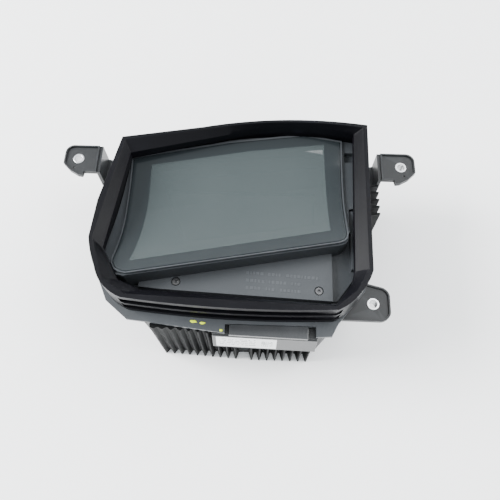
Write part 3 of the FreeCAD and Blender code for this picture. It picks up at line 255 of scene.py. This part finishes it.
def raised_bar(mesh, x, y, wide, tall, base, top):
    """A low bar with sloping sides, as an engraved tool leaves it."""
    low = [mesh.verts.new((x + i * wide / 2, y + j * tall / 2, base)) for i, j in CORNERS]
    high = [mesh.verts.new((x + i * (wide / 2 - MARK_EDGE), y + j * (tall / 2 - MARK_EDGE), top))
            for i, j in CORNERS]
    mesh.faces.new(high)
    mesh.faces.new(low[::-1])
    for k in range(4):
        mesh.faces.new((low[k], low[(k + 1) % 4], high[(k + 1) % 4], high[k]))


def from_mesh(name, mesh, material, body):
    """Turns a finished bmesh into a piece that rides on a body of the unit."""
    mesh.normal_update()
    data = bpy.data.meshes.new(name)
    mesh.to_mesh(data)
    mesh.free()
    piece = bpy.data.objects.new(name, data)
    data.materials.append(material)
    bpy.context.scene.collection.objects.link(piece)
    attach(piece, body)


marks = bmesh.new()
ROW_START = 0.0108
MARK_ROWS = ((-0.0362, 20, (5, 10)), (-0.0426, 15, (5, 11)), (-0.0487, 15, (4, 8)))
MARK_WIDTHS = (0.0018, 0.0024, 0.0014, 0.0021, 0.0026, 0.0016, 0.0023)
for y, count, gaps in MARK_ROWS:
    x = ROW_START
    for i in range(count):
        wide = MARK_WIDTHS[(i * 3 + count) % len(MARK_WIDTHS)]
        if i not in gaps:
            raised_bar(marks, x + wide / 2, y - ROW_SLOPE * (x - ROW_START), wide, MARK_TALL,
                       LEDGE_TOP - MARK_SUNK, LEDGE_TOP + MARK_HEIGHT)
        x += wide + MARK_GAP
from_mesh("mould_marks", marks, upper_finish, "housing")

# ---------------------------------------------------------------- light shield
# A collar that stands round the glass and keeps stray light off it, with a rim that flares round its mouth.
# It is moulded in one piece with two long grooves in its front wall, and is polished by handling.
SHIELD_BLACK = (0.0020, 0.0020, 0.0030, 1)
SHIELD_RUBBED = (0.006, 0.006, 0.009, 1)
shield_finish = moulded("shield_plastic", SHIELD_BLACK, SHIELD_RUBBED, 0.34, 1100.0, 0.00003, 0.12)
dress("light_shield", shield_finish, 0.0008, 3)

# ---------------------------------------------------------------- cover glass and its tape
# A bent pane of float glass is stuck down by its edge, with black enamel fired on round a clear window.
# The window has a grey tint against glare, and one can see dimly through it to the mirror below.
ENAMEL_BLACK = (0.015, 0.019, 0.021, 1)
WINDOW_GREY = (0.044, 0.056, 0.058, 1)
WINDOW_PALE = (0.056, 0.068, 0.069, 1)
WINDOW_REAR = ((-0.075, 0.0592, 0.194), (0.010, 0.0757, 0.138))
WINDOW_FRONT = (-0.0807, -0.0345, 0.204)
WINDOW_RIGHT = (0.0776, -0.0022, -0.030)
WINDOW_LEFT = -0.0743
LEFT_SWEEP = 1.56
ENAMEL_EDGE = 0.0003
SWEEP_FROM = 0.030
WINDOW_SEE_THROUGH = 0.24


def window_mask(place):
    """One inside the clear window and nothing on the enamel, with a crisp printed edge."""
    x = place.part("X")
    y = place.part("Y")
    inside = None
    sides = [y_line + slope * (x - x_line) - y for x_line, y_line, slope in WINDOW_REAR]
    front_x, front_y, front_slope = WINDOW_FRONT
    sides.append(y - (front_y + front_slope * (x - front_x)))
    right_x, right_y, right_slope = WINDOW_RIGHT
    sides.append(right_x + right_slope * (y - right_y) - x)
    ahead = SWEEP_FROM - y
    forward = ahead.sum("MAXIMUM", ahead, 0.0)
    sides.append(x - (WINDOW_LEFT - LEFT_SWEEP * forward * forward))
    for side in sides:
        inside = side if inside is None else side.sum("MINIMUM", inside, side)
    return inside.grade(0.0, ENAMEL_EDGE)


material, place = new_finish("smoked_glass")
clear = window_mask(place)
haze = place.noise(11.0, 2.0)
pane = haze.blend(WINDOW_GREY, WINDOW_PALE)
colour = clear.blend(ENAMEL_BLACK, pane)
surface(material, place, base_color=colour, roughness=0.07 + haze * 0.04,
        alpha=1.0 - clear * WINDOW_SEE_THROUGH, specular=0.18)
dress("cover_glass", material, 0.0003)

TAPE_BLACK = (0.012, 0.012, 0.012, 1)
TAPE_WORN = (0.03, 0.03, 0.03, 1)
material, place = new_finish("foam_tape")
cells = place.node("ShaderNodeTexVoronoi", None, {"Vector": place, "Scale": 2600.0})
surface(material, place, base_color=cells.grade(0.0, 0.6).blend(TAPE_BLACK, TAPE_WORN), roughness=0.9,
        normal=cells.relief(0.00005))
dress("glass_tape", material)

# ---------------------------------------------------------------- case seal and inner baffle
# A black rubber ring lies in the joint of the two cases and is squeezed as the screws pull them together.
# The baffle is a thin sheet with a window in it that hides the works from above.
SEAL_BLACK = (0.016, 0.016, 0.017, 1)
SEAL_DUSTY = (0.034, 0.034, 0.035, 1)
material, place = new_finish("seal_rubber")
skin = place.noise(900.0, 2.0)
surface(material, place, base_color=skin.grade(0.3, 0.8).blend(SEAL_BLACK, SEAL_DUSTY),
        roughness=0.74 + skin * 0.15, normal=skin.relief(0.00004))
dress("case_seal", material)
BAFFLE_GREY = (0.10, 0.105, 0.105, 1)
BAFFLE_PALE = (0.15, 0.155, 0.155, 1)
dress("light_baffle", moulded("baffle_plastic", BAFFLE_GREY, BAFFLE_PALE, 0.62, 800.0, 0.00001), 0.0002)

# ---------------------------------------------------------------- front heat sink
# A pressure die casting in aluminium, with drafted upright fins, coated with thin black paint.
# The paint is worn to a paler grey along the edges of the fins, and the casting skin is a little rough.
SINK_BLACK = (0.0025, 0.0028, 0.003, 1)
SINK_WORN = (0.016, 0.017, 0.018, 1)


def black_casting(name, dark, worn, gloss):
    """Black painted casting: rough skin, cloudy gloss and thin paint on the edges."""
    material, place = new_finish(name)
    cloud = place.noise(60.0, 4.0)
    skin = place.noise(620.0, 3.0, 0.65)
    edge = place.node("ShaderNodeNewGeometry", None, None, "Pointiness").grade(0.51, 0.60)
    chips = (skin * 0.6 + edge * 0.6).grade(0.55, 0.95)
    return surface(material, place, base_color=chips.blend(dark, worn), metallic=chips * 0.3,
                   roughness=gloss + cloud * 0.16, normal=skin.relief(0.00008), specular=0.08)


sink_finish = black_casting("black_aluminium", SINK_BLACK, SINK_WORN, 0.48)
dress("front_heat_sink", sink_finish, 0.0003)

# ---------------------------------------------------------------- side heat sink
# A second, smaller casting cools the lamps of the picture unit, with long and short fins in one row.
# It is painted like the first, and is held to the right wall by four screws from inside.
dress("side_heat_sink", black_casting("side_black", SINK_BLACK, SINK_WORN, 0.42), 0.0003)

# ---------------------------------------------------------------- front cover and its label
# A hooded cover clips over the top of the front heat sink; its top face is left smooth from the tool.
# A white film label is stuck on its face, with rows of plain grey bars and a block of squares.
COVER_BLACK = (0.010, 0.011, 0.012, 1)
COVER_RUBBED = (0.045, 0.047, 0.050, 1)
cover_finish = moulded("cover_plastic", COVER_BLACK, COVER_RUBBED, 0.22, 900.0, 0.000015, 0.55)
dress("front_cover", cover_finish, 0.0006, 3)

LABEL_WHITE = (0.92, 0.93, 0.93, 1)
LABEL_INK = (0.30, 0.31, 0.32, 1)
PRINT_LEFT, PRINT_RIGHT = -0.009, 0.020
PRINT_LOW, PRINT_HIGH = 0.0612, 0.0748
BLOCK_LEFT, BLOCK_RIGHT = 0.0245, 0.0335
BLOCK_LOW, BLOCK_HIGH = 0.063, 0.0725
SQUARE_SIDE = 0.0007
SQUARE_STEP = (SQUARE_SIDE, 1.0, SQUARE_SIDE)
material, place = new_finish("label_film")
along = place.part("X")
up = place.part("Z")
rows_of_print = (up * 1400.0).sum("SINE", up * 1900.0) > 0.25
line_number = (up * 302.4).sum("FLOOR", up * 302.4)
word_place = place.node("ShaderNodeCombineXYZ", None, {"X": along * 620.0, "Y": line_number * 7.3})
words = place.node("ShaderNodeTexNoise", {"noise_dimensions": "2D"},
                   {"Vector": word_place, "Scale": 1.0, "Detail": 0.0}) > 0.47
inset = (along > PRINT_LEFT) * (up > PRINT_LOW) * (up < PRINT_HIGH)
print_mask = rows_of_print * words * (along < PRINT_RIGHT) * inset
grid = place.node("ShaderNodeVectorMath", {"operation": "SNAP"}, {0: place, 1: SQUARE_STEP})
squares = place.node("ShaderNodeTexWhiteNoise", None, {"Vector": grid}) > 0.52
block = squares * (along > BLOCK_LEFT) * (along < BLOCK_RIGHT) * (up > BLOCK_LOW) * (up < BLOCK_HIGH)
ink = print_mask.sum("MAXIMUM", print_mask, block)
surface(material, place, base_color=(ink * 0.8).blend(LABEL_WHITE, LABEL_INK), roughness=0.46, specular=0.4)
dress("id_label", material)

# ---------------------------------------------------------------- inspection dabs
# The fitter leaves a dab of yellow paint on the flange for each test that the unit has passed.
# The paint is thick and dries to a soft gloss, with an uneven edge.
DAB_YELLOW = (0.60, 0.74, 0.0, 1)
DAB_BRIGHT = (0.72, 0.84, 0.01, 1)
FLANGE_TOP = 0.085
DAB_POINTS = 16
DAB_FLATTER = 0.62
DAB_PLACES = ((-0.0292, -0.0757, 0.0022, 1.25), (-0.0221, -0.0768, 0.0018, 1.2),
              (-0.0072, -0.0822, 0.0016, 0.8))
DAB_RINGS = ((1.0, -0.00005), (0.93, 0.00012), (0.72, 0.00024), (0.35, 0.0003))
random.seed(4)
dabs = bmesh.new()
for x, y, reach, spread in DAB_PLACES:
    rings = []
    wobble = [random.uniform(0.78, 1.15) for _ in range(DAB_POINTS)]
    for scale, rise in DAB_RINGS:
        ring = []
        for k in range(DAB_POINTS):
            angle = k * math.pi / (DAB_POINTS / 2)
            ring.append(dabs.verts.new((x + math.cos(angle) * reach * spread * scale * wobble[k],
                                        y + math.sin(angle) * reach * DAB_FLATTER * scale * wobble[k],
                                        FLANGE_TOP + rise)))
        rings.append(ring)
    for lower, upper in zip(rings, rings[1:]):
        for k in range(DAB_POINTS):
            after = (k + 1) % DAB_POINTS
            dabs.faces.new((lower[k], lower[after], upper[after], upper[k]))
    dabs.faces.new(rings[-1])
    dabs.faces.new(rings[0][::-1])
material, place = new_finish("yellow_paint")
film = place.noise(700.0, 2.0)
surface(material, place, base_color=film.grade(0.3, 0.7).blend(DAB_YELLOW, DAB_BRIGHT),
        roughness=0.32 + film * 0.15, normal=film.relief(0.00005), specular=0.15)
for face in dabs.faces:
    face.smooth = True
from_mesh("inspection_dabs", dabs, material, "housing")

# ---------------------------------------------------------------- bushes in the ears
# Turned steel sleeves are pressed into the ears so that a tight screw can't crush the plastic.
# They are zinc plated, with the faint rings of the turning tool on their ends.
ZINC = (0.74, 0.75, 0.76, 1)
ZINC_STAINED = (0.56, 0.57, 0.58, 1)


def turned_metal(name, bright, dull, gloss):
    """Plated or turned metal with faint tool marks and small stains."""
    material, place = new_finish(name)
    rings = place.node("ShaderNodeTexNoise", None, {"Vector": place, "Scale": 2400.0, "Detail": 2.0})
    stain = place.noise(120.0, 3.0).grade(0.35, 0.75)
    return surface(material, place, base_color=stain.blend(bright, dull), metallic=1.0,
                   roughness=gloss + stain * 0.14, normal=rings.relief(0.00002))


zinc_finish = turned_metal("zinc_steel", ZINC, ZINC_STAINED, 0.26)
dress("mount_bushes", zinc_finish, 0.0003)

# ---------------------------------------------------------------- screws
# The two screws in the ledge are blackened, because they can be seen beside the glass.
# All the others are plain zinc plated pan heads, hidden inside the case.
black_screw = turned_metal("black_screw", (0.08, 0.08, 0.085, 1), (0.16, 0.16, 0.16, 1), 0.30)
dress("ledge_screws", black_screw, 0.0002)
for name in ("sink_screws", "side_sink_screws", "board_screws", "motor_screws", "bracket_screws",
             "stand_screws"):
    dress(name, zinc_finish, 0.0002)

# ---------------------------------------------------------------- tilting mirror on its carrier
# A dished glass mirror that throws the picture up through the window, held in a moulded carrier.
# Its face has a bright coating that shows a slight blue green, and the carrier turns on bronze bushes.
MIRROR_TINT = (0.42, 0.50, 0.50, 1)
MIRROR_DEEP = (0.36, 0.44, 0.45, 1)
CARRIER_BLACK = (0.03, 0.031, 0.033, 1)
CARRIER_RUBBED = (0.07, 0.072, 0.075, 1)
material, place = new_finish("mirror_coat")
ripple = place.noise(14.0, 2.0)
surface(material, place, base_color=ripple.blend(MIRROR_TINT, MIRROR_DEEP), metallic=0.8,
        roughness=0.30 + ripple * 0.08)
dress("concave_mirror", material, 0.0003)
mirror_finish = material
carrier_finish = moulded("carrier_plastic", CARRIER_BLACK, CARRIER_RUBBED, 0.55, 900.0, 0.00001)
dress("mirror_carrier", carrier_finish, 0.0004)
bronze = turned_metal("bronze", (0.58, 0.40, 0.20, 1), (0.38, 0.26, 0.13, 1), 0.38)
dress("pivot_bushes", bronze, 0.0002)

# ---------------------------------------------------------------- gears of the mirror drive
# Three natural acetal gears bring the motor's turns down to a few degrees of the mirror.
# Acetal is milky and slippery, with a soft sheen and no grain.
ACETAL = (0.80, 0.79, 0.74, 1)
ACETAL_SHADED = (0.70, 0.69, 0.64, 1)
material, place = new_finish("acetal")
milk = place.noise(90.0, 2.0)
surface(material, place, base_color=milk.blend(ACETAL, ACETAL_SHADED), roughness=0.34 + milk * 0.1,
        normal=milk.relief(0.00002))
for name in ("sector_gear", "idler_gear", "motor_pinion"):
    dress(name, material, 0.0001, 1)

# ---------------------------------------------------------------- stepper motor, its bracket and the axle
# A pressed steel bracket stands on the floor of the case and carries the idler's axle and a small motor.
# All are zinc plated; the motor's can is drawn and has a satin skin.
dress("drive_bracket", turned_metal("pressed_steel", ZINC, (0.50, 0.51, 0.50, 1), 0.36), 0.0002)
dress("stepper_motor", turned_metal("drawn_can", (0.62, 0.63, 0.64, 1), (0.48, 0.49, 0.50, 1), 0.30), 0.0003)
dress("idler_axle", zinc_finish, 0.0002)

# ---------------------------------------------------------------- control board
# A green laminate board stands behind the front wall, with its hot chips facing the front heat sink.
# Chips are black epoxy, capacitors are drawn cans, and a grey pad carries heat to the casting.
BOARD_GREEN = (0.015, 0.11, 0.045, 1)
BOARD_DARK_TRACK = (0.02, 0.16, 0.06, 1)
BOARD_PALE_TRACK = (0.03, 0.22, 0.09, 1)
QUARTER_TURN = 1.5708
material, place = new_finish("solder_mask")
upright = place.node("ShaderNodeMapping", None, {"Vector": place, "Rotation": (QUARTER_TURN, 0, 0)})
tracks = place.node("ShaderNodeTexBrick", {"offset": 0.37, "squash": 0.6},
                    {"Vector": upright, "Color1": BOARD_DARK_TRACK, "Color2": BOARD_GREEN,
                     "Mortar": BOARD_PALE_TRACK, "Scale": 260.0, "Mortar Size": 0.03})
surface(material, place, base_color=tracks, roughness=0.32 + place.noise(200.0) * 0.1)
board_finish = material
dress("control_board", board_finish)
dress("lamp_board", board_finish)
chip_finish = moulded("chip_epoxy", (0.014, 0.014, 0.015, 1), (0.03, 0.03, 0.032, 1), 0.5, 2200.0, 0.00002)
dress("board_chips", chip_finish, 0.0002)
material, place = new_finish("thermal_gel")
gel = place.noise(350.0, 2.0)
surface(material, place, base_color=gel.blend((0.42, 0.47, 0.50, 1), (0.52, 0.57, 0.60, 1)),
        roughness=0.7 + gel * 0.1, normal=gel.relief(0.0001))
dress("thermal_pad", material)
capacitor_finish = turned_metal("can_aluminium", (0.76, 0.77, 0.79, 1), (0.6, 0.61, 0.62, 1), 0.28)
dress("board_capacitors", capacitor_finish, 0.0004)

# ---------------------------------------------------------------- harness header and its pins
# The sixteen way header is moulded in black and soldered to the board, with its mouth in the floor.
# Its square pins are plated with a little gold over nickel.
HEADER_BLACK = (0.02, 0.02, 0.022, 1)
HEADER_RUBBED = (0.05, 0.05, 0.052, 1)
dress("harness_header", moulded("header_plastic", HEADER_BLACK, HEADER_RUBBED, 0.4, 1800.0, 0.00002), 0.0002)
GOLD = (0.85, 0.62, 0.26, 1)
GOLD_DULL = (0.70, 0.50, 0.22, 1)
dress("header_pins", turned_metal("gold_plate", GOLD, GOLD_DULL, 0.22), 0.0001, 1)

# ---------------------------------------------------------------- picture unit
# Rows of white lamps shine through a lens plate and a diffuser on a small panel that makes the picture.
# A black moulded case holds the stack to the right wall, and an amber ribbon joins it to the board.
dress("picture_case", carrier_finish, 0.0004)
material, place = new_finish("panel_glass")
cells = place.node("ShaderNodeTexChecker", None,
                   {"Vector": place, "Scale": 900.0,
                    "Color1": (0.05, 0.05, 0.06, 1), "Color2": (0.08, 0.08, 0.10, 1)})
surface(material, place, base_color=cells, roughness=0.08 + place.noise(30.0) * 0.05)
dress("display_panel", material, 0.0001, 1)
material, place = new_finish("opal_sheet")
opal = place.noise(500.0, 2.0)
surface(material, place, base_color=opal.blend((0.88, 0.89, 0.89, 1), (0.80, 0.81, 0.81, 1)),
        roughness=0.5 + opal * 0.2)
dress("light_diffuser", material, 0.0001, 1)
material, place = new_finish("lens_moulding")
lenses = place.node("ShaderNodeTexVoronoi", None, {"Vector": place, "Scale": 130.0, "Randomness": 0.0})
LENS_CLEAR = (0.72, 0.78, 0.80, 1)
LENS_EDGE = (0.55, 0.62, 0.66, 1)
surface(material, place, base_color=lenses.grade(0.1, 0.6).blend(LENS_CLEAR, LENS_EDGE),
        roughness=0.08 + lenses * 0.1, normal=lenses.relief(0.0004), alpha=0.6)
dress("lens_array", material, 0.0002)
material, place = new_finish("lamp_phosphor")
phosphor = place.noise(1500.0, 2.0)
PHOSPHOR = (0.92, 0.80, 0.32, 1)
PHOSPHOR_PALE = (0.95, 0.88, 0.50, 1)
surface(material, place, base_color=phosphor.blend(PHOSPHOR, PHOSPHOR_PALE), roughness=0.5)
dress("lamp_chips", material, 0.0002)
material, place = new_finish("ribbon_film")
tracks = (place.part("Z") * 6000.0).sum("SINE", place.part("Z") * 6000.0).grade(-0.2, 0.6)
surface(material, place, base_color=tracks.blend((0.50, 0.24, 0.04, 1), (0.66, 0.36, 0.10, 1)),
        roughness=0.3 + tracks * 0.1)
dress("panel_flex", material)

# ---------------------------------------------------------------- fold mirror on its stand
# A flat mirror turns the light of the picture unit back to the dished one.
# It is bonded to a moulded stand that is screwed to the floor.
dress("fold_mirror", mirror_finish, 0.0003)
dress("fold_mirror_stand", carrier_finish, 0.0004)

# ---------------------------------------------------------------- vent membrane
# A disc of white breathing cloth is welded over a hole in the floor, so that the case can't fog.
# The cloth is a fine felt of stretched fibres.
material, place = new_finish("vent_cloth")
felt = place.noise(1800.0, 4.0)
surface(material, place, base_color=felt.blend((0.72, 0.73, 0.72, 1), (0.86, 0.86, 0.85, 1)), roughness=0.85,
        normal=felt.relief(0.0001))
dress("vent_membrane", material)
